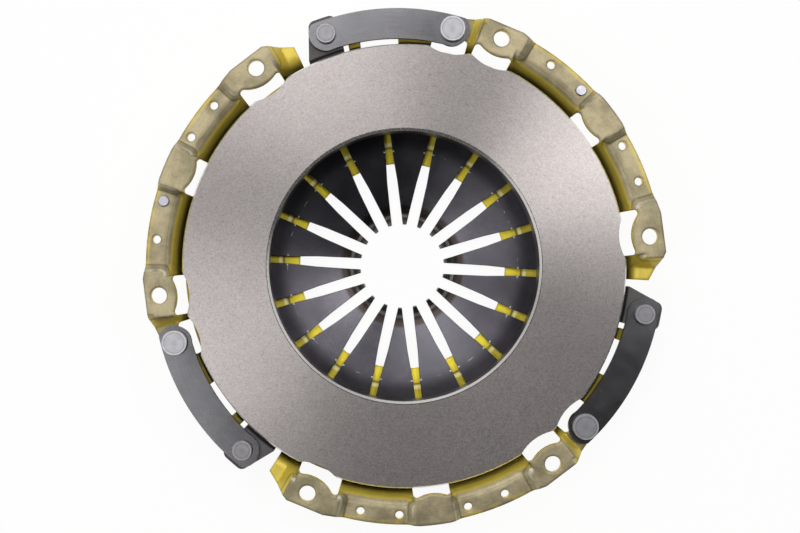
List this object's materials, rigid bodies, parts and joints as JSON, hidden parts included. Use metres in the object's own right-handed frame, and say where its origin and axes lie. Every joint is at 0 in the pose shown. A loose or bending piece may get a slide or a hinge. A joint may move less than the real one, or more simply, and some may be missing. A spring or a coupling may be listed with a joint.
{
  "type": "clutch pressure plate",
  "caption": "Diaphragm clutch pressure plate: a pressed cover bolts to the flywheel, and a spring with release fingers loads a strap-driven cast plate.",
  "frame": {"origin": "centre of the bolt circle, in the plane of the mounting feet that meets the flywheel", "axes": "+Z along the axis towards the flywheel, +X through the first bolt hole of a sector"},
  "size_m": [0.2905, 0.2898, 0.045],
  "materials": {
    "passivated_steel": "satin yellow passivated zinc",
    "strap_steel": "dark satin",
    "spring_steel": "dark tempered",
    "cast_iron": "ground face on a dark casting",
    "ring_wire": "satin",
    "rivet_steel": "satin"
  },
  "bodies": {
    "cover": {"cover": "passivated_steel", "pivot_ring_front": "ring_wire", "pivot_ring_rear": "ring_wire", "pivot_rivets": "rivet_steel", "balance_rivets": "rivet_steel", "cover_rivet_1": "rivet_steel", "cover_rivet_2": "rivet_steel", "cover_rivet_3": "rivet_steel", "drive_strap_1_leaf_1": "strap_steel", "drive_strap_1_leaf_2": "strap_steel", "drive_strap_1_leaf_3": "strap_steel", "drive_strap_2_leaf_1": "strap_steel", "drive_strap_2_leaf_2": "strap_steel", "drive_strap_2_leaf_3": "strap_steel", "drive_strap_3_leaf_1": "strap_steel", "drive_strap_3_leaf_2": "strap_steel", "drive_strap_3_leaf_3": "strap_steel", "diaphragm_spring": "spring_steel"},
    "plate": {"pressure_plate": "cast_iron", "lug_rivet_1": "rivet_steel", "lug_rivet_2": "rivet_steel", "lug_rivet_3": "rivet_steel"}
  },
  "joints": [
    {"name": "plate_lift", "type": "slide", "parent": "cover", "child": "plate", "axis": [0, 0, -1], "range_m": [0, 0.005], "deforming": ["drive_strap_1_leaf_1", "drive_strap_1_leaf_2", "drive_strap_1_leaf_3", "drive_strap_2_leaf_1", "drive_strap_2_leaf_2", "drive_strap_2_leaf_3", "drive_strap_3_leaf_1", "drive_strap_3_leaf_2", "drive_strap_3_leaf_3", "diaphragm_spring"]}
  ]
}
